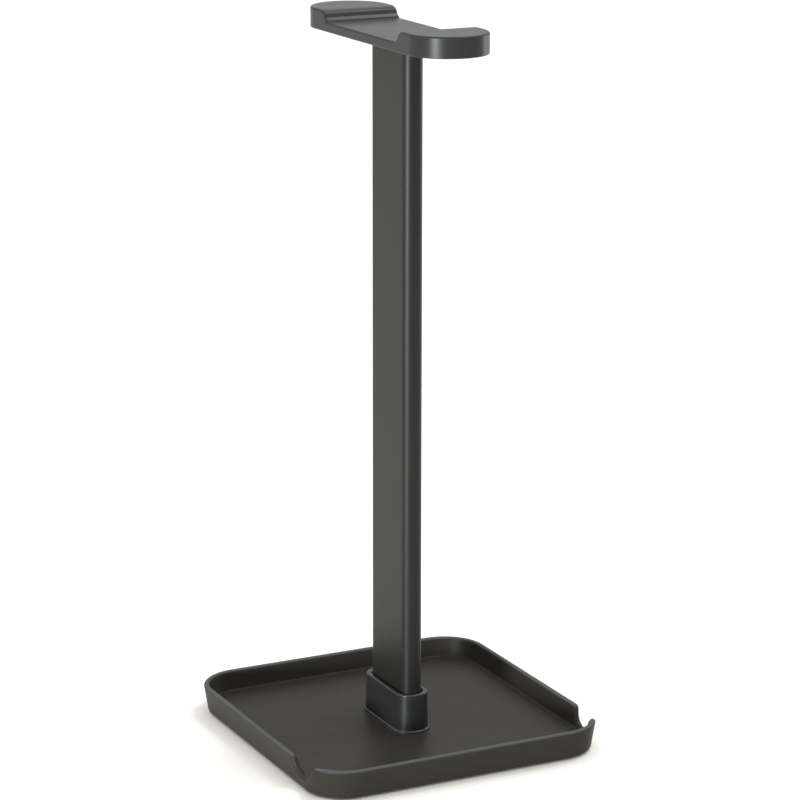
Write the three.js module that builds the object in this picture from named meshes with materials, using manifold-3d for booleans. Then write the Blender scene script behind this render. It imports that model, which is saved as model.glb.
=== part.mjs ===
// A headphone stand: a square tray on rubber feet, a flat column held in a socket, and a saddle-shaped
// headrest. Millimetres, +Z up. The origin is on the ground, under the middle of the tray. The front faces
// -Y, and the two cable notches are near it.
import * as THREE from "three";
import { mergeVertices } from "three/addons/utils/BufferGeometryUtils.js";
import Module from "manifold-3d";

const wasm = await Module();
wasm.setup();

// Driving dimensions.
const TRAY_SIZE = 120; // over the rim, both ways
const TRAY_CORNER = 17; // outer corner radius at the rim
const TRAY_BASE = 0.6; // the feet hold the tray this far off the ground
const RIM_HEIGHT = 11.7;
const RIM_WALL = 2.2; // wall at the rim, whose top is fully rounded
const OUTER_DRAFT = 1.4; // how far the outer wall leans in by its bottom edge
const INNER_DRAFT = 1.5; // how far the inner wall leans in by the floor
const TRAY_EDGE_ROUND = 1.5; // bottom outer edge and inner floor edge
const FLOOR_TOP = 4.2;
const FLOOR_THICKNESS = 1.2;
const SKIRT_INSET = 4.6; // the recess under the floor starts this far in from the rim

const NOTCH_RADIUS = 6.6; // cable notch, a half round centred on the rim's height
const NOTCH_FRONT_FLARE = 5; // rounding where the notch meets the rim
const NOTCH_REAR_FLARE = 2.5;
const NOTCH_Y = -42.2;

const COVER_THICKNESS = 1.3;
const BALLAST_SIZE = 93;
const BALLAST_CORNER = 6;
const BALLAST_THICKNESS = 1;
const FOOT_RADIUS = 6;
const FOOT_HEIGHT = 1.25;
const FOOT_CHAMFER = 0.4;
const FOOT_PLACE = 43; // from the middle, both ways
const COVER_SCREW_PLACE = 50.6; // from the middle, on each side's centre line

const COLUMN_WIDTH = 8; // along X
const COLUMN_DEPTH = 30; // along Y
const COLUMN_CORNER = 3.3;
const COLUMN_WALL = 1.2;
const PORT_PLACE = 8.5; // screw ports, fore and aft of the middle
const SCREW_RADIUS = 2; // of the four screws that go into the column

const SOCKET_TOP = 19.3;
const SOCKET_SINK = 0.3; // the socket stands in a shallow recess in the tray's floor, which locates it
const SOCKET_FLOOR = 2.6;
const SOCKET_OFFSET_TOP = 2.4; // the socket's outline stands this far outside the column's
const SOCKET_OFFSET_LOW = 2.8;
const SOCKET_EDGE_ROUND = 0.6;
const SOCKET_LEAD_WIDTH = 0.75; // chamfer at the mouth of the pocket
const SOCKET_LEAD_DEPTH = 1.2;
const FLANGE_OFFSET = 3.4;
const FLANGE_TOP = 5.05;

const HEADREST_WIDTH = 30; // also twice the radius of its two half-round ends
const HEADREST_LENGTH = 108;
const HEADREST_UNDERSIDE = 264.2;
const SADDLE_TOP = 267.8;
const LIP_TOP = 271.9;
const SADDLE_HALF = 28.1; // half of the flat seat's length
const LIP_START = 33.6; // where the raised ends begin, from the middle
const LIP_ROUND = 1.5;
const HEADREST_EDGE_ROUND = 1;
const SKIN = 3; // wall of the soft headrest cover around its core
const CORE_THICKNESS = 2.3;
const CORE_PAD_START = 36.5;
const CORE_PAD_TOP = 270.2;
const SPIGOT_DEPTH = 8; // the core's spigot reaches this far down into the column

// The cover screws are small and countersunk, the column screws have low round heads over washers, and the
// core screws are countersunk.
const COVER_SCREW = { head: 1.9, headHeight: 1, shank: 0.8, length: 3 };
const COLUMN_SCREW = { head: 3.5, headHeight: 1.4, shank: SCREW_RADIUS, length: 17 };
const CORE_SCREW = { head: 3.6, headHeight: 1.7, shank: SCREW_RADIUS, length: 14 };
const WASHER = { inner: 2.15, outer: 4.5, thickness: 0.5 };
const BOSS_RADIUS = 2.5; // of the short bosses under the tray's floor, for the cover screws
const COVER_SCREW_SINK = 0.1; // head below the cover's face
const ACCESS_RADIUS = 5; // holes in the cover for the column screws
const ROUND_HEAD_TOP = 0.8; // width of a round head's flat top, as a share of the head's
const RECESS_SPAN = 1.2; // length of a driver recess's arms over the head's radius
const RECESS_ARM = 0.33; // and their width
const RECESS_DEPTH = 0.6; // and how deep it goes into the head's height

const TOUCH = 0.05; // gap left between two pieces that rest on each other
const FIT = 0.15; // gap left round a piece that sits in another
const THROUGH = 1; // how far a cutter runs past the face that it cuts
const ARC_STEPS = 4; // half the number of straight steps in each quarter circle
const PROFILE_STEPS = 2;
const TURNED_STEPS = 20;
const QUARTER = Math.PI / 2;

const blackPlastic = material("base plastic", 0x2b2b29, 0.62, 0);
const powderCoat = material("powder coat", 0x3a3a37, 0.55, 0.35);
const softPlastic = material("soft plastic", 0x454644, 0.7, 0);
const rubber = material("rubber", 0x151515, 0.9, 0);
const steel = material("steel", 0x8b8d90, 0.35, 1);

function material(name, color, roughness, metalness) {
  return new THREE.MeshStandardMaterial({ name, color, roughness, metalness });
}

// A closed geometry as a solid that can be joined and cut, and back again.
function solid(geometry) {
  const bare = geometry.clone();
  bare.deleteAttribute("normal");
  bare.deleteAttribute("uv");
  const merged = mergeVertices(bare);
  const mesh = new wasm.Mesh({
    numProp: 3,
    vertProperties: merged.attributes.position.array,
    triVerts: new Uint32Array(merged.index.array),
  });
  return new wasm.Manifold(mesh);
}

function geometryOf(body) {
  const mesh = body.getMesh();
  const geometry = new THREE.BufferGeometry();
  geometry.setAttribute("position", new THREE.BufferAttribute(mesh.vertProperties, 3));
  geometry.setIndex(new THREE.BufferAttribute(mesh.triVerts, 1));
  const faceted = geometry.toNonIndexed();
  faceted.computeVertexNormals();
  return faceted;
}

function piece(name, body, finish) {
  const geometry = body.isBufferGeometry ? body : geometryOf(body);
  const mesh = new THREE.Mesh(geometry, finish.clone());
  mesh.name = name;
  return mesh;
}

// The same outline with any point dropped that lies on the next one.
function distinct(points) {
  const apart = (point, i) => point.distanceTo(points[(i + 1) % points.length]) > 1e-6;
  return points.filter(apart);
}

function roundedRectangle(width, depth, radius) {
  const x = width / 2 - radius;
  const y = depth / 2 - radius;
  const corners = new THREE.Path();
  corners.absarc(x, y, radius, 0, QUARTER);
  corners.absarc(-x, y, radius, QUARTER, 2 * QUARTER);
  corners.absarc(-x, -y, radius, 2 * QUARTER, 3 * QUARTER);
  corners.absarc(x, -y, radius, 3 * QUARTER, 4 * QUARTER);
  return new THREE.Shape(distinct(corners.getPoints(ARC_STEPS)));
}

// The shape pushed up from z = low to z = high.
function prism(shape, low, high) {
  const geometry = new THREE.ExtrudeGeometry(shape, { depth: high - low, bevelEnabled: false });
  return geometry.translate(0, 0, low);
}

// A disc or ring turned about Z from its half section, a list of [radius, height] pairs.
function turned(section) {
  const points = section.map(([radius, height]) => new THREE.Vector2(radius, height));
  return new THREE.LatheGeometry(points, TURNED_STEPS).rotateX(QUARTER);
}

function rod(radius, low, high) {
  return turned([[0, low], [radius, low], [radius, high], [0, high]]);
}

// A skin through outlines stacked one after another, closed at the first and the last.
function stacked(outlines) {
  const count = outlines[0].points.length;
  const positions = [];
  const triangles = [];
  for (const { points, z } of outlines) {
    for (const point of points) positions.push(point.x, point.y, z);
  }
  for (let level = 0; level < outlines.length - 1; level++) {
    for (let i = 0; i < count; i++) {
      const a = level * count + i;
      const b = level * count + ((i + 1) % count);
      triangles.push(a, b, b + count, a, b + count, a + count);
    }
  }
  const last = (outlines.length - 1) * count;
  for (const [a, b, c] of THREE.ShapeUtils.triangulateShape(outlines[0].points, [])) {
    triangles.push(a, c, b);
    triangles.push(last + a, last + b, last + c);
  }
  const geometry = new THREE.BufferGeometry();
  geometry.setAttribute("position", new THREE.Float32BufferAttribute(positions, 3));
  geometry.setIndex(triangles);
  return geometry;
}

// A rounded rectangle carried along a wall's section, whose x is the offset outwards and y the height.
function walled(width, depth, corner, section) {
  const outlineAt = (point) => ({
    points: roundedRectangle(width + 2 * point.x, depth + 2 * point.x, corner + point.x).getPoints(),
    z: point.y,
  });
  return stacked(distinct(section.getPoints(PROFILE_STEPS)).map(outlineAt));
}

// Up the outside of the tray's wall, over the rim and down to the floor.
function traySection() {
  const round = TRAY_EDGE_ROUND;
  const rim = RIM_WALL / 2;
  const innerFoot = RIM_WALL + INNER_DRAFT + round;
  const section = new THREE.Path();
  section.absarc(-OUTER_DRAFT - round, TRAY_BASE + round, round, -QUARTER, 0);
  section.absarc(-rim, RIM_HEIGHT - rim, rim, 0, 2 * QUARTER);
  section.absarc(-innerFoot, FLOOR_TOP + round, round, 0, -QUARTER, true);
  return section;
}

// The rounding between a notch and the rim: how far along the wall its centre is, how high, and the angle
// at which it meets the notch's half round.
function flareOf(radius) {
  const reach = NOTCH_RADIUS + radius;
  return {
    radius,
    along: Math.sqrt(reach ** 2 - radius ** 2),
    height: RIM_HEIGHT - radius,
    angle: Math.asin(radius / reach),
  };
}

// The outline of a cable notch seen along X, open above the rim.
function notchShape() {
  const front = flareOf(NOTCH_FRONT_FLARE);
  const rear = flareOf(NOTCH_REAR_FLARE);
  const shape = new THREE.Shape();
  shape.moveTo(-front.along, RIM_HEIGHT + THROUGH);
  shape.lineTo(-front.along, RIM_HEIGHT);
  shape.absarc(-front.along, front.height, front.radius, QUARTER, front.angle, true);
  shape.absarc(0, RIM_HEIGHT, NOTCH_RADIUS, Math.PI + front.angle, 2 * Math.PI - rear.angle);
  shape.absarc(rear.along, rear.height, rear.radius, Math.PI - rear.angle, QUARTER, true);
  shape.lineTo(rear.along, RIM_HEIGHT + THROUGH);
  return new THREE.Shape(distinct(shape.getPoints(ARC_STEPS)));
}

// One bar cuts both notches: between them it passes over the floor.
function notchCutter() {
  const length = TRAY_SIZE + 2 * THROUGH;
  const bar = new THREE.ExtrudeGeometry(notchShape(), { depth: length, bevelEnabled: false });
  return bar.translate(0, 0, -length / 2).rotateX(QUARTER).rotateZ(QUARTER).translate(0, NOTCH_Y, 0);
}

const floorUnderside = FLOOR_TOP - FLOOR_THICKNESS;
const recessSize = TRAY_SIZE - 2 * SKIRT_INSET;
const recessCorner = TRAY_CORNER - SKIRT_INSET;
const coverTop = TRAY_BASE + COVER_THICKNESS;
const portPlaces = { front: -PORT_PLACE, rear: PORT_PLACE };
const coverScrewPlaces = {
  front: [0, -COVER_SCREW_PLACE],
  rear: [0, COVER_SCREW_PLACE],
  left: [-COVER_SCREW_PLACE, 0],
  right: [COVER_SCREW_PLACE, 0],
};
const footPlaces = {
  front_left: [-FOOT_PLACE, -FOOT_PLACE],
  front_right: [FOOT_PLACE, -FOOT_PLACE],
  rear_left: [-FOOT_PLACE, FOOT_PLACE],
  rear_right: [FOOT_PLACE, FOOT_PLACE],
};

const coverScrewTip = TRAY_BASE + COVER_SCREW_SINK + COVER_SCREW.length;
const socketFoot = FLOOR_TOP - SOCKET_SINK;

// The column's outline, let out by an offset all round.
function columnOutline(offset) {
  const corner = COLUMN_CORNER + offset;
  return roundedRectangle(COLUMN_WIDTH + 2 * offset, COLUMN_DEPTH + 2 * offset, corner);
}

function baseTray() {
  let body = solid(walled(TRAY_SIZE, TRAY_SIZE, TRAY_CORNER, traySection()));
  const recess = roundedRectangle(recessSize, recessSize, recessCorner);
  body = body.subtract(solid(prism(recess, TRAY_BASE - THROUGH, floorUnderside)));
  body = body.subtract(solid(notchCutter()));
  body = body.subtract(solid(prism(columnOutline(FLANGE_OFFSET + FIT), socketFoot, FLOOR_TOP + THROUGH)));
  for (const [x, y] of Object.values(coverScrewPlaces)) {
    const boss = rod(BOSS_RADIUS, coverTop + TOUCH, floorUnderside + TOUCH).translate(x, y, 0);
    const pilot = rod(COVER_SCREW.shank + FIT, coverTop - THROUGH, coverScrewTip + FIT).translate(x, y, 0);
    body = body.add(solid(boss)).subtract(solid(pilot));
  }
  for (const y of Object.values(portPlaces)) {
    const hole = rod(SCREW_RADIUS + FIT, floorUnderside - THROUGH, FLOOR_TOP + THROUGH);
    body = body.subtract(solid(hole.translate(0, y, 0)));
  }
  return piece("base_tray", body, blackPlastic);
}

// Up the outside of the socket, over its rim and down the pocket that takes the column.
function socketSection() {
  const bottom = socketFoot + TOUCH;
  const edge = SOCKET_EDGE_ROUND;
  const section = new THREE.Path();
  section.moveTo(FLANGE_OFFSET, bottom);
  section.lineTo(FLANGE_OFFSET, FLANGE_TOP - edge);
  section.absarc(FLANGE_OFFSET - edge, FLANGE_TOP - edge, edge, 0, QUARTER);
  section.lineTo(SOCKET_OFFSET_LOW, FLANGE_TOP);
  section.absarc(SOCKET_OFFSET_TOP - edge, SOCKET_TOP - edge, edge, 0, QUARTER);
  section.lineTo(FIT + SOCKET_LEAD_WIDTH, SOCKET_TOP);
  section.lineTo(FIT, SOCKET_TOP - SOCKET_LEAD_DEPTH);
  section.lineTo(FIT, bottom + SOCKET_FLOOR);
  return section;
}

function columnSocket() {
  let body = solid(walled(COLUMN_WIDTH, COLUMN_DEPTH, COLUMN_CORNER, socketSection()));
  for (const y of Object.values(portPlaces)) {
    const hole = rod(SCREW_RADIUS + FIT, socketFoot - THROUGH, socketFoot + SOCKET_FLOOR + THROUGH);
    body = body.subtract(solid(hole.translate(0, y, 0)));
  }
  return piece("column_socket", body, blackPlastic);
}

// A steel sheet that fills the space under the floor, with a window for the column screws.
function ballastPlate() {
  const windowWidth = 2 * (WASHER.outer + THROUGH);
  const windowDepth = 2 * PORT_PLACE + windowWidth;
  const shape = roundedRectangle(BALLAST_SIZE, BALLAST_SIZE, BALLAST_CORNER);
  shape.holes.push(roundedRectangle(windowWidth, windowDepth, windowWidth / 2));
  const low = coverTop + TOUCH;
  return piece("ballast_plate", prism(shape, low, low + BALLAST_THICKNESS), steel);
}

function bottomCover() {
  const size = recessSize - 2 * FIT;
  let body = solid(prism(roundedRectangle(size, size, recessCorner - FIT), TRAY_BASE, coverTop));
  for (const [x, y] of Object.values(footPlaces)) {
    const pocket = rod(FOOT_RADIUS + FIT, 0, FOOT_HEIGHT + TOUCH).translate(x, y, 0);
    body = body.subtract(solid(pocket));
  }
  for (const [x, y] of Object.values(coverScrewPlaces)) {
    const sunk = TRAY_BASE + COVER_SCREW_SINK;
    const seat = turned([
      [0, TRAY_BASE - THROUGH],
      [COVER_SCREW.head + FIT, TRAY_BASE - THROUGH],
      [COVER_SCREW.head + FIT, sunk],
      [COVER_SCREW.shank + FIT, sunk + COVER_SCREW.headHeight],
      [COVER_SCREW.shank + FIT, coverTop + THROUGH],
      [0, coverTop + THROUGH],
    ]);
    body = body.subtract(solid(seat.translate(x, y, 0)));
  }
  for (const y of Object.values(portPlaces)) {
    const access = rod(ACCESS_RADIUS, TRAY_BASE - THROUGH, coverTop + THROUGH);
    body = body.subtract(solid(access.translate(0, y, 0)));
  }
  return piece("bottom_cover", body, blackPlastic);
}

function feet() {
  const section = [
    [0, 0],
    [FOOT_RADIUS - FOOT_CHAMFER, 0],
    [FOOT_RADIUS, FOOT_CHAMFER],
    [FOOT_RADIUS, FOOT_HEIGHT],
    [0, FOOT_HEIGHT],
  ];
  return Object.entries(footPlaces).map(([place, [x, y]]) => {
    const foot = piece(`foot_${place}`, turned(section), rubber);
    foot.position.set(x, y, 0);
    return foot;
  });
}

// A cross-shaped driver recess that goes down from z = 0.
function crossRecess(radius, depth) {
  const span = radius * RECESS_SPAN;
  const width = radius * RECESS_ARM;
  const one = solid(new THREE.BoxGeometry(span, width, 2 * depth));
  const other = solid(new THREE.BoxGeometry(width, span, 2 * depth));
  return one.add(other);
}

// A screw that points down, with the top of its head at z = 0.
function screw({ head, headHeight, shank, length }, countersunk) {
  const point = shank / 2;
  const rim = countersunk ? head : head * ROUND_HEAD_TOP;
  const body = solid(turned([
    [0, -length],
    [shank - point, -length],
    [shank, -length + point],
    [shank, -headHeight],
    ...(countersunk ? [] : [[head, -headHeight], [head, -headHeight / 2]]),
    [rim, 0],
    [0, 0],
  ]));
  return body.subtract(crossRecess(head, headHeight * RECESS_DEPTH));
}

function coverScrews() {
  return Object.entries(coverScrewPlaces).map(([place, [x, y]]) => {
    const mesh = piece(`cover_screw_${place}`, screw(COVER_SCREW, true), steel);
    mesh.rotation.x = Math.PI;
    mesh.position.set(x, y, TRAY_BASE + COVER_SCREW_SINK);
    return mesh;
  });
}

// The two screws that clamp the tray, the socket and the column together from below, with their washers.
function columnFixings() {
  const washerTop = floorUnderside - TOUCH;
  const washerLow = washerTop - WASHER.thickness;
  const headLow = washerLow - TOUCH - COLUMN_SCREW.headHeight;
  return Object.entries(portPlaces).flatMap(([place, y]) => {
    const fixing = piece(`column_screw_${place}`, screw(COLUMN_SCREW, false), steel);
    fixing.rotation.x = Math.PI;
    fixing.position.set(0, y, headLow);
    const ring = turned([
      [WASHER.inner, washerLow],
      [WASHER.outer, washerLow],
      [WASHER.outer, washerTop],
      [WASHER.inner, washerTop],
      [WASHER.inner, washerLow],
    ]);
    const washer = piece(`column_washer_${place}`, ring, steel);
    washer.position.set(0, y, 0);
    return [fixing, washer];
  });
}

const columnFoot = socketFoot + 2 * TOUCH + SOCKET_FLOOR;
const columnHead = HEADREST_UNDERSIDE - TOUCH;
const cavityWidth = COLUMN_WIDTH - 2 * COLUMN_WALL;
const cavityDepth = 2 * (PORT_PLACE - SCREW_RADIUS - COLUMN_WALL - FIT);
const cavityCorner = 1;

// A flat extrusion, hollow between two screw ports that run its whole length.
function column() {
  const shape = columnOutline(0);
  shape.holes.push(roundedRectangle(cavityWidth, cavityDepth, cavityCorner));
  for (const y of Object.values(portPlaces)) {
    const port = new THREE.Path();
    port.absarc(0, y, SCREW_RADIUS + FIT, 0, 4 * QUARTER);
    shape.holes.push(new THREE.Path(distinct(port.getPoints(TURNED_STEPS / 2))));
  }
  return piece("column", prism(shape, columnFoot, columnHead), powderCoat);
}

const stadium = (inset) =>
  roundedRectangle(HEADREST_WIDTH - 2 * inset, HEADREST_LENGTH - 2 * inset, HEADREST_WIDTH / 2 - inset);

// The half-round space inside one raised end: D-shaped, at the front (-1) or the rear (1).
function endPad(side, inset, start) {
  const radius = HEADREST_WIDTH / 2 - inset;
  const centre = (HEADREST_LENGTH - HEADREST_WIDTH) / 2;
  const shape = new THREE.Shape();
  shape.moveTo(radius, start);
  shape.lineTo(radius, centre);
  shape.absarc(0, centre, radius, 0, 2 * QUARTER);
  shape.lineTo(-radius, start);
  const points = distinct(shape.getPoints(ARC_STEPS * 2));
  return new THREE.Shape(points.map((point) => point.multiplyScalar(side)));
}

// The hard core: a plate under the whole headrest, a pad in each raised end and a spigot into the column.
function headrestCore() {
  const low = HEADREST_UNDERSIDE;
  const top = low + CORE_THICKNESS;
  const inset = SKIN + FIT;
  const spigot = roundedRectangle(cavityWidth - 2 * FIT, cavityDepth - 2 * FIT, cavityCorner);
  let body = solid(prism(stadium(inset), low, top));
  body = body.add(solid(prism(spigot, low - SPIGOT_DEPTH, low + THROUGH)));
  for (const side of [-1, 1]) {
    body = body.add(solid(prism(endPad(side, inset, CORE_PAD_START), top - THROUGH, CORE_PAD_TOP)));
  }
  for (const y of Object.values(portPlaces)) {
    const seat = turned([
      [0, low - THROUGH],
      [CORE_SCREW.shank + FIT, low - THROUGH],
      [CORE_SCREW.shank + FIT, top - TOUCH - CORE_SCREW.headHeight],
      [CORE_SCREW.head + FIT, top - TOUCH],
      [CORE_SCREW.head + FIT, top + THROUGH],
      [0, top + THROUGH],
    ]);
    body = body.subtract(solid(seat.translate(0, y, 0)));
  }
  return piece("headrest_core", body, blackPlastic);
}

function coreScrews() {
  return Object.entries(portPlaces).map(([place, y]) => {
    const mesh = piece(`core_screw_${place}`, screw(CORE_SCREW, true), steel);
    mesh.position.set(0, y, HEADREST_UNDERSIDE + CORE_THICKNESS - TOUCH);
    return mesh;
  });
}

// The space above the seat, seen along X: flat below, then sloping up and rounding over to each raised end.
function saddleShape() {
  const above = LIP_TOP + THROUGH;
  const lean = Math.atan2(LIP_START - SADDLE_HALF - LIP_ROUND, LIP_TOP - SADDLE_TOP - LIP_ROUND / 2);
  const shape = new THREE.Shape();
  shape.moveTo(-LIP_START, above);
  shape.lineTo(-LIP_START, LIP_TOP);
  shape.absarc(-LIP_START, LIP_TOP - LIP_ROUND, LIP_ROUND, QUARTER, lean, true);
  shape.lineTo(-SADDLE_HALF, SADDLE_TOP);
  shape.lineTo(SADDLE_HALF, SADDLE_TOP);
  shape.absarc(LIP_START, LIP_TOP - LIP_ROUND, LIP_ROUND, 2 * QUARTER - lean, QUARTER, true);
  shape.lineTo(LIP_START, above);
  return new THREE.Shape(distinct(shape.getPoints(ARC_STEPS)));
}

// The soft cover: all of the headrest that shows, open below where the core is pushed in.
function headrestCover() {
  const round = HEADREST_EDGE_ROUND;
  const block = new THREE.ExtrudeGeometry(stadium(round), {
    depth: LIP_TOP - HEADREST_UNDERSIDE - 2 * round,
    bevelSize: round,
    bevelThickness: round,
    bevelSegments: 3,
  });
  const across = HEADREST_WIDTH + 2 * THROUGH;
  const saddle = new THREE.ExtrudeGeometry(saddleShape(), { depth: across, bevelEnabled: false });
  saddle.translate(0, 0, -across / 2).rotateX(QUARTER).rotateZ(QUARTER);
  const recessTop = HEADREST_UNDERSIDE + CORE_THICKNESS + TOUCH;
  let body = solid(block.translate(0, 0, HEADREST_UNDERSIDE + round)).subtract(solid(saddle));
  body = body.subtract(solid(prism(stadium(SKIN), HEADREST_UNDERSIDE - THROUGH, recessTop)));
  for (const side of [-1, 1]) {
    const pad = endPad(side, SKIN, CORE_PAD_START - FIT);
    body = body.subtract(solid(prism(pad, HEADREST_UNDERSIDE, CORE_PAD_TOP + TOUCH)));
  }
  return piece("headrest_cover", body, softPlastic);
}

const base = new THREE.Group();
base.add(baseTray(), columnSocket(), ballastPlate(), bottomCover());
base.add(...feet(), ...coverScrews(), ...columnFixings());

const headrest = new THREE.Group();
headrest.add(headrestCore(), headrestCover(), ...coreScrews());

const stand = new THREE.Group();
stand.name = "headphone_stand";
stand.add(base, column(), headrest);

export default stand;
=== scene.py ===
"""A headphone stand: a rimmed square tray, a flat column in a socket and a saddle-shaped headrest.

Metres, +Z up, the front towards -Y. The tray, the socket, the column, the headrest's cover and the feet
are built here with finer curves than the CAD solids. The other nodes keep their shapes, and get new
materials and slightly bevelled edges.
"""
import math

import bpy
from mathutils import Matrix, Vector
from mathutils.geometry import tessellate_polygon


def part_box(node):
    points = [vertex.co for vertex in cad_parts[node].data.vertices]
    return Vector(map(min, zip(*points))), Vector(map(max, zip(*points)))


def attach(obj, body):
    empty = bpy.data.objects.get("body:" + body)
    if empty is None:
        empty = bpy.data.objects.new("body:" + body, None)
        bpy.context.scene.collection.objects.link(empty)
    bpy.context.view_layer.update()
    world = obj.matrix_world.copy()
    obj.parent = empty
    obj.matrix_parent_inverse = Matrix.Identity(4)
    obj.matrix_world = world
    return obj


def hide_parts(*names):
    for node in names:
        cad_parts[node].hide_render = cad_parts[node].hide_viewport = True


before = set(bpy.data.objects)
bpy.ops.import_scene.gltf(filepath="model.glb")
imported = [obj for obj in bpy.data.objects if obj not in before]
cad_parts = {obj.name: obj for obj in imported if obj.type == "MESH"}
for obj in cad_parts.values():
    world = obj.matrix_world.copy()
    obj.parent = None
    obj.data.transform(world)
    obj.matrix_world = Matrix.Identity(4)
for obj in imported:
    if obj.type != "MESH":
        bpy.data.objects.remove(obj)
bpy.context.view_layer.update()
boxes = {name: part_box(name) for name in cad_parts}

MM = 0.001
BODY = "root"
CORNER_STEPS = 20  # straight steps in a quarter circle of an outline
EDGE_STEPS = 6  # steps in each rounded corner of a section
RIM_STEPS = 18  # steps over the tray's rim
END_STEPS = 60  # steps round each end of the headrest
FOOT_STEPS = 80  # steps round a foot
SHARP_ANGLE = math.radians(40)  # an edge that turns by more than this is shaded as a sharp one

# Dimensions that the boxes of the CAD nodes don't give.
TRAY_CORNER = 17 * MM
RIM_WALL = 2.2 * MM
OUTER_DRAFT = 1.4 * MM
INNER_DRAFT = 1.5 * MM
TRAY_EDGE_ROUND = 1.5 * MM
TRAY_FLOOR_ROUND = 0.7 * MM
FLOOR_TOP = 4.2 * MM
FLOOR_UNDERSIDE = 3 * MM
SKIRT_INSET = 4.6 * MM
SKIRT_CHAMFER = 0.3 * MM
NOTCH_RADIUS = 6.6 * MM
NOTCH_FRONT_FLARE = 5 * MM  # the radius that leads from the rim into a notch
NOTCH_REAR_FLARE = 2.5 * MM
NOTCH_Y = -42.2 * MM
NOTCH_STEPS = 12

COLUMN_CORNER = 3.3 * MM
SOCKET_OFFSET_TOP = 2.4 * MM
SOCKET_OFFSET_LOW = 2.8 * MM
FLANGE_OFFSET = 3.4 * MM
FLANGE_TOP = 5.05 * MM
SOCKET_EDGE_ROUND = 0.6 * MM
FLANGE_EDGE_ROUND = 0.48 * MM
SOCKET_FILLET = 0.35 * MM
POCKET_LEAD = 0.75 * MM
POCKET_LEAD_DEPTH = 1.2 * MM
POCKET_ROUND = 0.2 * MM
FIT = 0.15 * MM  # the gap between pieces that fit into each other

CORE_THICKNESS = 2.3 * MM
SADDLE_TOP = 267.8 * MM
SADDLE_HALF = 28.1 * MM
SADDLE_ROUND = 0.25 * MM
# Each slope of the saddle, outwards and upwards from the saddle's flat: a small slanted step, the slope
# above it and the lip's crown, each with the rounding at its end.
STEP_START = 0.25 * MM
STEP_FOOT = 0.55 * MM
STEP_FOOT_ROUND = 0.4 * MM
STEP_END = 1.6 * MM
STEP_TOP = 1.5 * MM
STEP_TOP_ROUND = 0.6 * MM
SLOPE_END = 2.3 * MM
SLOPE_TOP = 2.9 * MM
SLOPE_ROUND = 1.5 * MM
CROWN_END = 3.9 * MM
CROWN_DROP = 0.35 * MM
CROWN_ROUND = 2 * MM
LIP_FLAT = 5.4 * MM
LIP_ROUND = 3 * MM
HEADREST_EDGE = 0.8 * MM
HEADREST_FOOT_EDGE = 0.25 * MM
HEADREST_SKIN = 3 * MM

FOOT_CHAMFER = 0.4 * MM
FOOT_DISH = 0.4  # the hollow in the middle of a foot's underside, as a part of the foot's radius
FOOT_TREAD = 0.55  # where the part that touches the ground starts

RIM_HIGHLIGHT_HEIGHT = 0.85 * MM  # the height of the band of painted highlight along the top of the tray's rim
RIM_HIGHLIGHT = 0.95  # how much of the pale colour shows there, as the painted highlight
EDGE_REACH = 0.45 * MM  # wear and the painted edge highlight show this far from an edge
# How much paler the moulded edges are painted, partly as wear and partly as a painted highlight.
EDGE_WEAR_AND_HIGHLIGHT = 0.7
# How much paler the headrest's edges are painted, partly rubbed and partly a painted highlight.
SKIN_EDGE_WEAR_AND_HIGHLIGHT = 0.5
BEVEL_ANGLE = math.radians(50)  # CAD edges that turn by more than this are bevelled

AMBIENT = 0.42
OVERHEAD = 2.5
OVERHEAD_SPREAD = math.radians(120)
COOL = (0.92, 0.97, 1)
FLOOR_RADIUS = 9
FLOOR_SIDES = 96

CAMERA_AZIMUTH = math.radians(-26.45)
CAMERA_ELEVATION = math.radians(14.66)
CAMERA_ROLL = math.radians(0.08)
CAMERA_DISTANCE = 1.13679
CAMERA_AIM = Vector((0, 0, 0.13))
CAMERA_SLIDE = (1.13 * MM, -0.23 * MM)  # sideways and up, in the camera's own plane
CAMERA_LENS = 137.67
CAMERA_SENSOR = 36


# ---------------------------------------------------------------- outlines and sections


def arc(centre, radius, start, end, steps):
    """Points (x, y, normal x, normal y) on an arc, with angles in quarter turns."""
    points = []
    for i in range(steps + 1):
        angle = math.pi / 2 * (start + (end - start) * i / steps)
        normal = (math.cos(angle), math.sin(angle))
        points.append((centre[0] + radius * normal[0], centre[1] + radius * normal[1], *normal))
    return points


def rounded_outline(half_x, half_y, radius):
    """A rounded rectangle, anticlockwise from above, as points (x, y, normal x, normal y)."""
    outline = []
    for turn, (side_x, side_y) in enumerate(((1, 1), (-1, 1), (-1, -1), (1, -1))):
        centre = (side_x * (half_x - radius), side_y * (half_y - radius))
        outline += arc(centre, radius, turn, turn + 1, CORNER_STEPS)
    return outline


def rounded_path(corners):
    """Points (x, y) along straight lines through corners (x, y, radius), each rounded by its radius.

    The radii of the first and the last corner aren't used."""
    path = [Vector(corners[0][:2])]
    for before, corner, after in zip(corners, corners[1:], corners[2:]):
        here = Vector(corner[:2])
        radius = corner[2]
        back = (Vector(before[:2]) - here).normalized()
        on = (Vector(after[:2]) - here).normalized()
        half = back.angle(on) / 2
        reach = radius / math.tan(half)
        centre = here + (back + on).normalized() * radius / math.sin(half)
        first = here + back * reach - centre
        turn = first.angle_signed(here + on * reach - centre)
        for i in range(EDGE_STEPS + 1):
            path.append(centre + Matrix.Rotation(-turn * i / EDGE_STEPS, 2) @ first)
    path.append(Vector(corners[-1][:2]))
    return [(point.x, point.y) for point in path]


def normals_of(path):
    """The left-hand normal at each point of an open path, from its neighbours."""
    normals = []
    for i in range(len(path)):
        a = Vector(path[max(i - 1, 0)])
        b = Vector(path[min(i + 1, len(path) - 1)])
        along = (b - a).normalized()
        normals.append((-along.y, along.x))
    return normals


# ---------------------------------------------------------------- meshes


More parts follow.
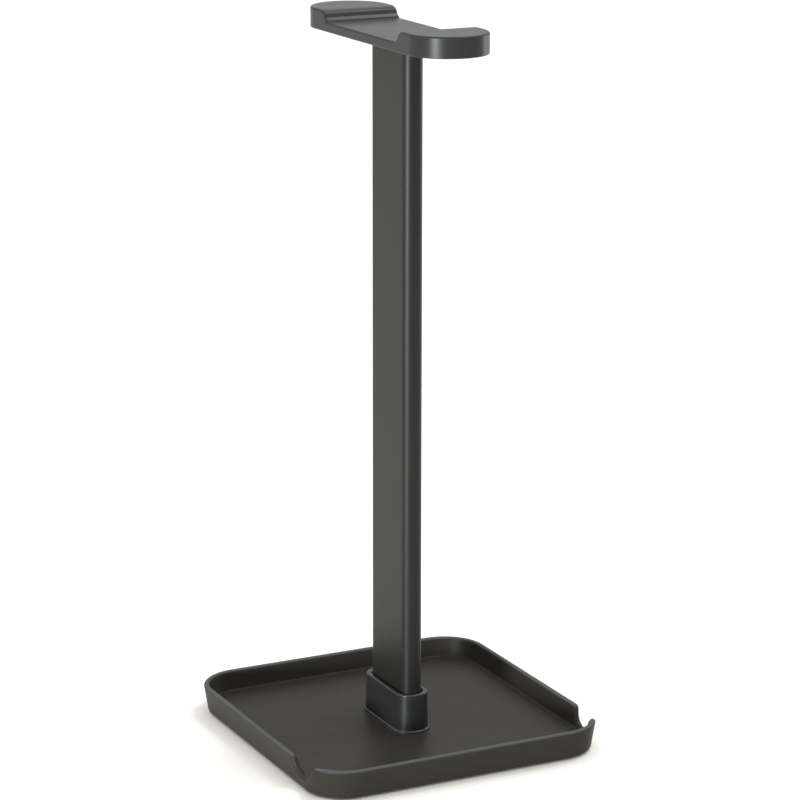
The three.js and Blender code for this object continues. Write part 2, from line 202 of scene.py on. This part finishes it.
def ring_faces(rings, count):
    """Quads between rings of count points each."""
    faces = []
    for ring in range(rings - 1):
        for i in range(count):
            a = ring * count + i
            b = ring * count + (i + 1) % count
            faces.append((a, b, b + count, a + count))
    return faces


def filled(verts, loops):
    """Triangles that fill the first loop of vertex numbers and leave out the others."""
    numbers = [number for loop in loops for number in loop]
    flat = [[Vector((verts[number][0], verts[number][1], 0)) for number in loop] for loop in loops]
    return [tuple(numbers[i] for i in triangle) for triangle in tessellate_polygon(flat)]


def facing(faces, verts, up):
    """The same flat faces, wound so that they face up or down."""
    turned = []
    for a, b, c in faces:
        ab = Vector(verts[b]) - Vector(verts[a])
        ac = Vector(verts[c]) - Vector(verts[a])
        turned.append((a, b, c) if (ab.cross(ac).z > 0) == up else (a, c, b))
    return turned


def rounded_point(station, inset, drop):
    """The point that far in from a station's outline, and that far below its top along the top's normal."""
    x, y, normal_x, normal_y, top, lean, rise = station
    slide = lean * drop
    return (
        x - normal_x * inset + normal_y * slide,
        y - normal_y * inset - normal_x * slide,
        top - rise * drop,
    )


def make_piece(name, verts, faces, material, slot, *nodes):
    """A smooth-shaded piece that rides on the stand and stands for CAD nodes."""
    mesh = bpy.data.meshes.new(name)
    mesh.from_pydata([tuple(vert) for vert in verts], [], faces)
    mesh.validate()
    mesh.shade_smooth()
    mesh.set_sharp_from_angle(angle=SHARP_ANGLE)
    mesh.materials.append(material)
    piece = bpy.data.objects.new(name, mesh)
    bpy.context.scene.collection.objects.link(piece)
    weighted = piece.modifiers.new("weighted_normals", "WEIGHTED_NORMAL")
    weighted.keep_sharp = True
    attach(piece, BODY)
    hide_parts(*nodes)


def loft(outline, section, centre=(0, 0)):
    """A closed skin: the section's (offset outwards, height) points carried round an outline."""
    verts = []
    for offset, height in section:
        for x, y, normal_x, normal_y in outline:
            verts.append((centre[0] + x + normal_x * offset, centre[1] + y + normal_y * offset, height))
    count = len(outline)
    last = (len(section) - 1) * count
    faces = ring_faces(len(section), count)
    faces.append(tuple(reversed(range(count))))
    faces.append(tuple(range(last, last + count)))
    return verts, faces


# ---------------------------------------------------------------- the tray


def flare(radius):
    """How far along the wall a flare's centre is from the notch's own, and where the two arcs meet.

    The second is an angle in quarter turns."""
    reach = NOTCH_RADIUS + radius
    return math.sqrt(reach**2 - radius**2), math.asin(radius / reach) / (math.pi / 2)


def notch_curve():
    """A notch's edge from rear to front, on the wall rolled out flat: (along, z, normal along, normal z)."""
    rim = boxes["base_tray"][1].z
    centre = -NOTCH_Y
    rear, rear_angle = flare(NOTCH_REAR_FLARE)
    front, front_angle = flare(NOTCH_FRONT_FLARE)
    curve = arc((centre - rear, rim - NOTCH_REAR_FLARE), NOTCH_REAR_FLARE, 1, rear_angle, NOTCH_STEPS)
    dip = arc((centre, rim), NOTCH_RADIUS, 2 + rear_angle, 4 - front_angle, 2 * NOTCH_STEPS)
    curve += [(along, z, -normal_along, -normal_z) for along, z, normal_along, normal_z in dip][1:-1]
    front_centre = (centre + front, rim - NOTCH_FRONT_FLARE)
    curve += arc(front_centre, NOTCH_FRONT_FLARE, 2 - front_angle, 1, NOTCH_STEPS)
    return curve


def left_wall_point(along):
    """The tray's left side, that far forward from the middle: (x, y, normal x, normal y)."""
    half = boxes["base_tray"][1].x
    straight = half - TRAY_CORNER
    if along <= straight:
        return -half, -along, -1, 0
    angle = (along - straight) / TRAY_CORNER
    normal = (-math.cos(angle), -math.sin(angle))
    return -straight + TRAY_CORNER * normal[0], -straight + TRAY_CORNER * normal[1], *normal


def tray_stations():
    """Anticlockwise round the tray: (x, y, normal x, normal y, rim height, rim lean, rim rise).

    Lean and rise are the parts of the rim's normal that lie along the wall and up."""
    high = boxes["base_tray"][1]
    straight = high.x - TRAY_CORNER
    notch = notch_curve()
    left = [(*left_wall_point(along), z, lean, rise) for along, z, lean, rise in notch]
    # The notch runs on into the front corner, by this part of its quarter circle.
    used = (notch[-1][0] - straight) / TRAY_CORNER / (math.pi / 2)
    front_left = arc((-straight, -straight), TRAY_CORNER, 2 + used, 3, CORNER_STEPS)[1:]
    rear_left = arc((-straight, straight), TRAY_CORNER, 1, 2, CORNER_STEPS)
    half = [(*point, high.z, 0, 1) for point in rear_left] + left
    half += [(*point, high.z, 0, 1) for point in front_left]
    mirrored = [(-x, y, -nx, ny, z, -lean, rise) for x, y, nx, ny, z, lean, rise in reversed(half)]
    return half + mirrored


def wall_insets(height):
    """How far in the tray wall's outer and inner faces are at a height."""
    foot = boxes["base_tray"][0].z + TRAY_EDGE_ROUND
    inner_foot = FLOOR_TOP + TRAY_FLOOR_ROUND
    top = boxes["base_tray"][1].z - RIM_WALL / 2
    outer = OUTER_DRAFT * (top - height) / (top - foot)
    inner = INNER_DRAFT * (top - height) / (top - inner_foot)
    return outer, RIM_WALL + min(inner, INNER_DRAFT)


def rim_row(stations, angle):
    """One row of the rim's rounding, which follows the notches' edges. The angle goes from 0 to pi."""
    row = []
    for station in stations:
        outer, inner = wall_insets(station[4] - station[6] * RIM_WALL / 2)
        radius = (inner - outer) / 2
        inset = (outer + inner) / 2 - radius * math.cos(angle)
        x, y, z = rounded_point(station, inset, radius * (1 - math.sin(angle)))
        row.append((x, y, max(z, FLOOR_TOP)))
    return row


def plain_row(stations, inset, height, ceiling=None):
    """One row at a height, or at the ceiling row's where a notch leaves the wall lower than that."""
    row = []
    for i, (x, y, normal_x, normal_y, *_) in enumerate(stations):
        lowered = height if ceiling is None else min(height, ceiling[i][2])
        row.append((x - normal_x * inset, y - normal_y * inset, lowered))
    return row


def tray_rows(stations):
    """Rows from the floor's underside, down the skirt, up the outer wall and over the rim to the floor."""
    bottom = boxes["base_tray"][0].z
    edge = TRAY_EDGE_ROUND
    rows = [plain_row(stations, SKIRT_INSET, FLOOR_UNDERSIDE)]
    rows.append(plain_row(stations, SKIRT_INSET, bottom + SKIRT_CHAMFER))
    rows.append(plain_row(stations, SKIRT_INSET - SKIRT_CHAMFER, bottom))
    for x, z, *_ in arc((-OUTER_DRAFT - edge, bottom + edge), edge, -1, 0, EDGE_STEPS):
        rows.append(plain_row(stations, -x, z))
    for i in range(RIM_STEPS + 1):
        rows.append(rim_row(stations, math.pi * i / RIM_STEPS))
    ceiling = rows[-1]
    foot = TRAY_FLOOR_ROUND
    inner_foot = RIM_WALL + INNER_DRAFT + foot
    for x, z, *_ in arc((-inner_foot, FLOOR_TOP + foot), foot, 4, 3, EDGE_STEPS):
        rows.append(plain_row(stations, -x, z, ceiling))
    return rows


def add_floor(verts, faces, floor):
    """Fills the floor's outline, round the shallow recess that the socket stands in."""
    recess = socket_recess()
    sunk = boxes["column_socket"][0].z
    opening = list(range(len(verts), len(verts) + len(recess)))
    verts += [(x, y, FLOOR_TOP) for x, y in recess]
    faces += facing(filled(verts, [floor, opening]), verts, True)
    under = list(range(len(verts), len(verts) + len(recess)))
    verts += [(x, y, sunk) for x, y in recess]
    for i in range(len(recess)):
        j = (i + 1) % len(recess)
        faces.append((opening[j], opening[i], under[i], under[j]))
    faces += facing(filled(verts, [under]), verts, True)


def build_tray(material):
    stations = tray_stations()
    count = len(stations)
    rows = tray_rows(stations)
    verts = [vert for row in rows for vert in row]
    faces = ring_faces(len(rows), count)
    faces += facing(filled(verts, [list(range(count))]), verts, False)
    add_floor(verts, faces, list(range(len(verts) - count, len(verts))))
    make_piece("tray", verts, faces, material, "tray_plastic", "base_tray")


# ---------------------------------------------------------------- the socket and the column


def column_outline():
    """The column's outline, which the socket and its recess follow."""
    high = boxes["column"][1]
    return rounded_outline(high.x, high.y, COLUMN_CORNER)


def socket_recess():
    """The outline of the shallow recess in the tray's floor that the socket stands in."""
    reach = FLANGE_OFFSET + FIT
    return [(x + normal_x * reach, y + normal_y * reach) for x, y, normal_x, normal_y in column_outline()]


def build_socket(material):
    low, high = boxes["column_socket"]
    floor = boxes["column"][0].z
    section = rounded_path([
        (FLANGE_OFFSET, low.z, 0),
        (FLANGE_OFFSET, FLANGE_TOP, FLANGE_EDGE_ROUND),
        (SOCKET_OFFSET_LOW, FLANGE_TOP, SOCKET_FILLET),
        (SOCKET_OFFSET_TOP, high.z, SOCKET_EDGE_ROUND),
        (FIT + POCKET_LEAD, high.z, POCKET_ROUND),
        (FIT, high.z - POCKET_LEAD_DEPTH, POCKET_ROUND),
        (FIT, floor, 0),
    ])
    verts, faces = loft(column_outline(), section)
    make_piece("socket", verts, faces, material, "socket_plastic", "column_socket")


def build_column(material):
    low, high = boxes["column"]
    section = [(-FIT, low.z), (0, low.z + FIT), (0, high.z)]
    verts, faces = loft(column_outline(), section)
    make_piece("column_shell", verts, faces, material, "column_coating", "column")


# ---------------------------------------------------------------- the headrest


def saddle_half():
    """The top of the headrest seen along X, from the middle to the rear: points (y, z)."""
    top = boxes["headrest_cover"][1].z
    return rounded_path([
        (0, SADDLE_TOP, 0),
        (SADDLE_HALF, SADDLE_TOP, SADDLE_ROUND),
        (SADDLE_HALF + STEP_START, SADDLE_TOP + STEP_FOOT, STEP_FOOT_ROUND),
        (SADDLE_HALF + STEP_END, SADDLE_TOP + STEP_TOP, STEP_TOP_ROUND),
        (SADDLE_HALF + SLOPE_END, SADDLE_TOP + SLOPE_TOP, SLOPE_ROUND),
        (SADDLE_HALF + CROWN_END, top - CROWN_DROP, CROWN_ROUND),
        (SADDLE_HALF + LIP_FLAT, top, LIP_ROUND),
        (SADDLE_HALF + LIP_FLAT + LIP_ROUND, top, 0),
    ])


def headrest_stations():
    """Stations like the tray's, anticlockwise: right side, rear end, left side and front end."""
    high = boxes["headrest_cover"][1]
    radius = high.x
    rear = saddle_half()
    profile = [(-y, z) for y, z in reversed(rear)] + rear[1:]
    # The path runs from the front to the rear, so its left-hand normals point up.
    across = [(y, z, *normal) for (y, z), normal in zip(profile, normals_of(profile))]
    right = [(radius, y, 1, 0, z, normal_y, normal_z) for y, z, normal_y, normal_z in across]
    left = [(-radius, y, -1, 0, z, -normal_y, normal_z) for y, z, normal_y, normal_z in reversed(across)]
    centre = high.y - radius
    rear_end = [(*point, high.z, 0, 1) for point in arc((0, centre), radius, 0, 2, END_STEPS)]
    front_end = [(*point, high.z, 0, 1) for point in arc((0, -centre), radius, 2, 4, END_STEPS)]
    return right, rear_end, left, front_end


def build_headrest(material):
    right, rear_end, left, front_end = headrest_stations()
    stations = right + rear_end + left + front_end
    count = len(stations)
    low = boxes["headrest_cover"][0].z
    edge = HEADREST_EDGE
    recess = low + CORE_THICKNESS
    rows = [plain_row(stations, HEADREST_SKIN, recess), plain_row(stations, HEADREST_SKIN, low)]
    foot = HEADREST_FOOT_EDGE
    for x, z, *_ in arc((-foot, low + foot), foot, -1, 0, EDGE_STEPS):
        rows.append(plain_row(stations, -x, z))
    for i in range(EDGE_STEPS + 1):
        angle = math.pi / 2 * i / EDGE_STEPS
        inset = edge * (1 - math.cos(angle))
        drop = edge * (1 - math.sin(angle))
        rows.append([rounded_point(station, inset, drop) for station in stations])
    verts = [vert for row in rows for vert in row]
    faces = ring_faces(len(rows), count)
    faces.append(tuple(reversed(range(count))))
    # The top is a strip from side to side along the saddle, and a half disc at each end.
    start = len(verts) - count
    across = len(right)
    first_left = start + across + len(rear_end)
    for i in range(across - 1):
        a = start + i
        b = first_left + across - 1 - i
        faces.append((a, a + 1, b - 1, b))
    rear = range(start + across - 1, first_left + 1)
    front = list(range(first_left + across - 1, len(verts))) + [start]
    faces.append(tuple(rear))
    faces.append(tuple(front))
    make_piece("headrest", verts, faces, material, "headrest_skin", "headrest_cover")


# ---------------------------------------------------------------- the feet


def build_feet(material):
    for place in ("front_left", "front_right", "rear_left", "rear_right"):
        node = "foot_" + place
        low, high = boxes[node]
        radius = (high.x - low.x) / 2
        centre = ((low.x + high.x) / 2, (low.y + high.y) / 2)
        outline = [(0, 0, *point[2:]) for point in arc((0, 0), 1, 0, 4, FOOT_STEPS)[:-1]]
        section = rounded_path([
            (radius * FOOT_DISH, low.z + FOOT_CHAMFER / 2, 0),
            (radius * FOOT_TREAD, low.z, FOOT_CHAMFER / 2),
            (radius - FOOT_CHAMFER, low.z, FOOT_CHAMFER / 2),
            (radius, low.z + FOOT_CHAMFER, FOOT_CHAMFER / 2),
            (radius, high.z, 0),
        ])
        verts, faces = loft(outline, section, centre)
        make_piece("rubber_" + node, verts, faces, material, "foot_rubber", node)


# ---------------------------------------------------------------- materials


# The sockets of a Mix node that are in use when it mixes colours.
MIX_FACTOR = 0
MIX_A = 6
MIX_B = 7
MIX_RESULT = 2


class Nodes:
    """A material's node tree with its Principled shader."""

    def __init__(self, name, colour, roughness, metallic=0.0, specular=0.5):
        self.material = bpy.data.materials.new(name)
        self.material.use_nodes = True
        self.tree = self.material.node_tree
        self.shader = self.tree.nodes["Principled BSDF"]
        self.roughness = roughness
        self.shader.inputs["Base Color"].default_value = (*colour, 1)
        self.shader.inputs["Roughness"].default_value = roughness
        self.shader.inputs["Metallic"].default_value = metallic
        self.shader.inputs["Specular IOR Level"].default_value = specular
        self.place = self.add("ShaderNodeTexCoord").outputs["Object"]

    def add(self, kind, **settings):
        node = self.tree.nodes.new(kind)
        for name, value in settings.items():
            setattr(node, name, value)
        return node

    def link(self, output, node, name):
        self.tree.links.new(output, node.inputs[name])

    def noise(self, size, detail=3, stretch=(1, 1, 1)):
        """Noise whose features are about size across, in metres, stretched along the axes."""
        mapping = self.add("ShaderNodeMapping")
        mapping.inputs["Scale"].default_value = [1 / factor for factor in stretch]
        self.link(self.place, mapping, "Vector")
        texture = self.add("ShaderNodeTexNoise")
        texture.inputs["Scale"].default_value = 1 / size
        texture.inputs["Detail"].default_value = detail
        self.link(mapping.outputs["Vector"], texture, "Vector")
        return texture.outputs["Fac"]

    def spread(self, value, low, high, from_low=0.3, from_high=0.7):
        """Carries the range from_low to from_high over to low to high, and stops at its ends."""
        node = self.add("ShaderNodeMapRange")
        node.inputs["From Min"].default_value = from_low
        node.inputs["From Max"].default_value = from_high
        node.inputs["To Min"].default_value = low
        node.inputs["To Max"].default_value = high
        self.link(value, node, "Value")
        return node.outputs["Result"]

    def height(self):
        """How high a point of the surface is above the ground."""
        split = self.add("ShaderNodeSeparateXYZ")
        self.link(self.place, split, "Vector")
        return split.outputs["Z"]

    def edges(self, most):
        """Up to most on edges that stand out, where little of the solid lies close below the surface."""
        solid = self.add("ShaderNodeAmbientOcclusion", samples=8, inside=True, only_local=True)
        solid.inputs["Distance"].default_value = EDGE_REACH
        return self.spread(solid.outputs["AO"], most, 0, from_low=0.8, from_high=0.98)

    def tint(self, fac, other):
        """Mixes the colour so far with another by a factor."""
        node = self.add("ShaderNodeMix", data_type="RGBA")
        socket = self.shader.inputs["Base Color"]
        if socket.is_linked:
            self.link(socket.links[0].from_socket, node, MIX_A)
        else:
            node.inputs[MIX_A].default_value = socket.default_value
        node.inputs[MIX_B].default_value = (*other, 1)
        self.link(fac, node, MIX_FACTOR)
        self.tree.links.new(node.outputs[MIX_RESULT], socket)

    def vary_roughness(self, value, less, more):
        """Lets the roughness go from that much less to that much more as a value rises."""
        varied = self.spread(value, self.roughness - less, self.roughness + more)
        self.link(varied, self.shader, "Roughness")

    def bump(self, height, distance):
        """Adds a relief of that height, in metres, to the relief so far."""
        node = self.add("ShaderNodeBump")
        node.inputs["Distance"].default_value = distance
        self.link(height, node, "Height")
        socket = self.shader.inputs["Normal"]
        if socket.is_linked:
            self.link(socket.links[0].from_socket, node, "Normal")
        self.tree.links.new(node.outputs["Normal"], socket)


def shade(colour, factor):
    """The colour made darker or lighter by a factor."""
    return tuple(channel * factor for channel in colour)


def moulded(name, colour, roughness, specular, grain, depth, wear_and_highlight=1.8, rim=None):
    """Moulded plastic: a fine grain, slow changes of colour and gloss, and edges painted paler.

    The paler edges are partly wear and partly a painted highlight, brighter than the plastic by the factor
    given.
    With a rim's height given, a painted highlight also runs along the top of the rim."""
    nodes = Nodes(name, colour, roughness, specular=specular)
    grains = nodes.noise(grain, 4)
    flow = nodes.noise(30 * MM, 4)
    patches = nodes.noise(6 * MM, 3)
    nodes.tint(nodes.spread(flow, 0, 0.3), shade(colour, 0.8))
    nodes.tint(nodes.spread(grains, 0, 0.35), shade(colour, 1.35))
    grey = sum(colour) / 3
    worn_and_lit = shade((grey, grey, grey), wear_and_highlight)
    # Edges painted paler: partly wear, partly a painted highlight.
    nodes.tint(nodes.edges(EDGE_WEAR_AND_HIGHLIGHT), worn_and_lit)
    # A painted highlight along the top of the tray's rim.
    if rim is not None:
        nodes.tint(nodes.spread(nodes.height(), 0, RIM_HIGHLIGHT, rim - RIM_HIGHLIGHT_HEIGHT, rim - RIM_HIGHLIGHT_HEIGHT / 3), worn_and_lit)
    nodes.vary_roughness(patches, 0.02, 0.02)
    nodes.bump(grains, depth)
    return nodes.material


def powder_coat(name, colour, roughness, specular):
    """Powder coat on an extrusion: orange peel, faint lengthwise draw marks and small pale specks."""
    nodes = Nodes(name, colour, roughness, specular=specular)
    peel = nodes.noise(0.9 * MM, 3)
    draw = nodes.noise(1.2 * MM, 2, stretch=(1, 1, 60))
    specks = nodes.noise(0.5 * MM, 2)
    nodes.tint(nodes.spread(nodes.noise(40 * MM, 3), 0, 0.4), shade(colour, 0.85))
    nodes.tint(nodes.spread(draw, 0, 0.25), shade(colour, 1.3))
    nodes.tint(nodes.spread(specks, 0, 0.5, 0.62, 0.72), shade(colour, 2))
    nodes.vary_roughness(peel, 0.02, 0.02)
    nodes.bump(peel, 0.002 * MM)
    nodes.bump(draw, 0.001 * MM)
    return nodes.material


def soft_skin(name, colour, roughness, specular):
    """Soft moulded skin: a dense matt grain, a light bloom, and paler edges, rubbed and painted highlight.
    """
    nodes = Nodes(name, colour, roughness, specular=specular)
    grains = nodes.noise(0.35 * MM, 5)
    bloom = nodes.noise(14 * MM, 4)
    nodes.shader.inputs["Sheen Weight"].default_value = 0.03
    nodes.shader.inputs["Sheen Roughness"].default_value = 0.4
    nodes.tint(nodes.spread(bloom, 0, 0.4), shade(colour, 1.2))
    nodes.tint(nodes.spread(grains, 0, 0.4), shade(colour, 0.7))
    # Edges painted paler: partly rubbed, partly a painted highlight.
    nodes.tint(nodes.edges(SKIN_EDGE_WEAR_AND_HIGHLIGHT), shade(colour, 2))
    nodes.vary_roughness(bloom, 0.02, 0.02)
    nodes.bump(grains, 0.01 * MM)
    return nodes.material


def foot_rubber(name, colour):
    """Matt rubber with a fine grain and pale dust."""
    nodes = Nodes(name, colour, 0.85, specular=0.3)
    grains = nodes.noise(0.3 * MM, 4)
    dust = nodes.noise(1.5 * MM, 5)
    nodes.tint(nodes.spread(dust, 0, 0.5, 0.5, 0.75), (0.11, 0.105, 0.1))
    nodes.vary_roughness(grains, 0.1, 0.1)
    nodes.bump(grains, 0.02 * MM)
    return nodes.material


def plated_steel(name, colour, roughness, grain, stretch):
    """Zinc-plated steel: cloudy plating and fine scratches, some of them brighter."""
    nodes = Nodes(name, colour, roughness, metallic=1.0)
    clouds = nodes.noise(3 * MM, 5)
    scratches = nodes.noise(grain, 3, stretch)
    nodes.tint(nodes.spread(clouds, 0, 0.6), shade(colour, 0.6))
    nodes.tint(nodes.spread(scratches, 0, 0.3), shade(colour, 1.3))
    nodes.vary_roughness(scratches, 0.08, 0.15)
    nodes.bump(scratches, 0.006 * MM)
    return nodes.material


def floor_material():
    """Pale matt paper with faint fibres."""
    nodes = Nodes("floor_paper", (0.84, 0.82, 0.785), 0.9, specular=0.1)
    fibres = nodes.noise(1.5 * MM, 4)
    nodes.tint(nodes.spread(fibres, 0, 0.3), (0.82, 0.80, 0.765))
    nodes.bump(fibres, 0.02 * MM)
    return nodes.material


# ---------------------------------------------------------------- CAD nodes that are shown as they are


def dress(nodes, material, bevel):
    """Gives CAD nodes a material, and breaks their edges with a small bevel."""
    for name in nodes:
        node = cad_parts[name]
        node.data.materials.clear()
        node.data.materials.append(material)
        edge = node.modifiers.new("edge", "BEVEL")
        edge.width = bevel
        edge.segments = 2
        edge.limit_method = "ANGLE"
        edge.angle_limit = BEVEL_ANGLE


# ---------------------------------------------------------------- light, floor and camera


def build_floor():
    """A large disc under the stand."""
    verts = [(0, 0, 0)]
    verts += [(x, y, 0) for x, y, *_ in arc((0, 0), FLOOR_RADIUS, 0, 4, FLOOR_SIDES)[:-1]]
    faces = [(0, 1 + i, 1 + (i + 1) % FLOOR_SIDES) for i in range(FLOOR_SIDES)]
    mesh = bpy.data.meshes.new("floor")
    mesh.from_pydata(verts, [], faces)
    mesh.materials.append(floor_material())
    floor = bpy.data.objects.new("floor", mesh)
    bpy.context.scene.collection.objects.link(floor)


def softbox(name, azimuth, elevation, distance, width, height, watts, colour=(1, 1, 1)):
    """A rectangular light that faces the camera's aim. Azimuth 0 is in front, and 90 to the right."""
    light = bpy.data.lights.new(name, "AREA")
    light.shape = "RECTANGLE"
    light.size = width
    light.size_y = height
    light.energy = watts
    light.color = colour
    lamp = bpy.data.objects.new(name, light)
    bpy.context.scene.collection.objects.link(lamp)
    a = math.radians(azimuth)
    e = math.radians(elevation)
    away = Vector((math.sin(a) * math.cos(e), -math.cos(a) * math.cos(e), math.sin(e)))
    lamp.location = CAMERA_AIM + away * distance
    lamp.rotation_euler = away.to_track_quat("Z", "Y").to_euler()


def build_overhead():
    """A very soft light from straight above, which is as strong on the far floor as on the near."""
    light = bpy.data.lights.new("overhead", "SUN")
    light.energy = OVERHEAD
    light.angle = OVERHEAD_SPREAD
    lamp = bpy.data.objects.new("overhead", light)
    bpy.context.scene.collection.objects.link(lamp)
    lamp.location = (0, 0, 2)


def build_light():
    """A pale world, the overhead light and four softboxes."""
    world = bpy.data.worlds.new("studio")
    bpy.context.scene.world = world
    world.use_nodes = True
    background = world.node_tree.nodes["Background"]
    background.inputs["Color"].default_value = (0.97, 0.99, 1, 1)
    background.inputs["Strength"].default_value = AMBIENT
    build_overhead()
    softbox("strip", azimuth=-58, elevation=1.5, distance=6, width=1.15, height=0.5, watts=540, colour=COOL)
    softbox("right_high", azimuth=98, elevation=64, distance=1.6, width=0.4, height=0.4, watts=5.8)
    softbox("right_edge", azimuth=96, elevation=8, distance=1.3, width=0.3, height=0.8, watts=4, colour=COOL)
    softbox("back_soft", azimuth=150, elevation=24, distance=2, width=1.6, height=0.8, watts=2.6)


def build_camera():
    """A camera that looks at its aim from the given angles, slid a little in its own plane."""
    a = CAMERA_AZIMUTH
    e = CAMERA_ELEVATION
    back = Vector((math.sin(a) * math.cos(e), -math.cos(a) * math.cos(e), math.sin(e)))
    level = Vector((math.cos(a), math.sin(a), 0))
    upright = back.cross(level)
    right = math.cos(CAMERA_ROLL) * level + math.sin(CAMERA_ROLL) * upright
    up = back.cross(right)
    place = CAMERA_AIM + back * CAMERA_DISTANCE + right * CAMERA_SLIDE[0] + up * CAMERA_SLIDE[1]
    data = bpy.data.cameras.new("camera")
    data.lens = CAMERA_LENS
    data.sensor_width = CAMERA_SENSOR
    data.clip_start = 0.01
    camera = bpy.data.objects.new("camera", data)
    bpy.context.scene.collection.objects.link(camera)
    camera.matrix_world = Matrix.Translation(place) @ Matrix((right, up, back)).transposed().to_4x4()
    bpy.context.scene.camera = camera


# ---------------------------------------------------------------- the scene

rim = boxes["base_tray"][1].z
# The factor after the grain is how much paler the edges are painted, partly as wear and partly as a painted
# highlight.
tray_plastic = moulded(
    "tray_plastic", (0.0225, 0.0203, 0.0165), roughness=0.43, specular=0.08,
    grain=0.4 * MM, depth=0.003 * MM, wear_and_highlight=3.2, rim=rim,
)
socket_plastic = moulded(
    "socket_plastic", (0.0135, 0.0135, 0.0135), roughness=0.34, specular=0.33,
    grain=0.4 * MM, depth=0.003 * MM, wear_and_highlight=4,
)
cover_plastic = moulded(
    "cover_plastic", (0.030, 0.030, 0.029), roughness=0.6, specular=0.4, grain=0.8 * MM, depth=0.04 * MM,
)
core_plastic = moulded(
    "core_plastic", (0.03, 0.03, 0.03), roughness=0.6, specular=0.4, grain=0.5 * MM, depth=0.02 * MM,
)
coating = powder_coat("column_coating", (0.0085, 0.0082, 0.0075), roughness=0.42, specular=0.25)
skin = soft_skin("headrest_skin", (0.0185, 0.0184, 0.0177), roughness=0.34, specular=0.19)
rubber = foot_rubber("foot_rubber", (0.018, 0.018, 0.018))
ballast_steel = plated_steel(
    "ballast_steel", (0.45, 0.45, 0.46), roughness=0.4, grain=0.5 * MM, stretch=(30, 1, 1),
)
screw_steel = plated_steel(
    "screw_steel", (0.5, 0.5, 0.52), roughness=0.32, grain=0.2 * MM, stretch=(1, 1, 6),
)

build_tray(tray_plastic)
build_socket(socket_plastic)
build_column(coating)
build_headrest(skin)
build_feet(rubber)

screws = [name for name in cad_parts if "screw" in name or "washer" in name]
dress(["bottom_cover"], cover_plastic, bevel=0.2 * MM)
dress(["ballast_plate"], ballast_steel, bevel=0.1 * MM)
dress(["headrest_core"], core_plastic, bevel=0.2 * MM)
dress(screws, screw_steel, bevel=0.08 * MM)

build_floor()
build_light()
build_camera()
bpy.context.scene.view_settings.view_transform = "Standard"
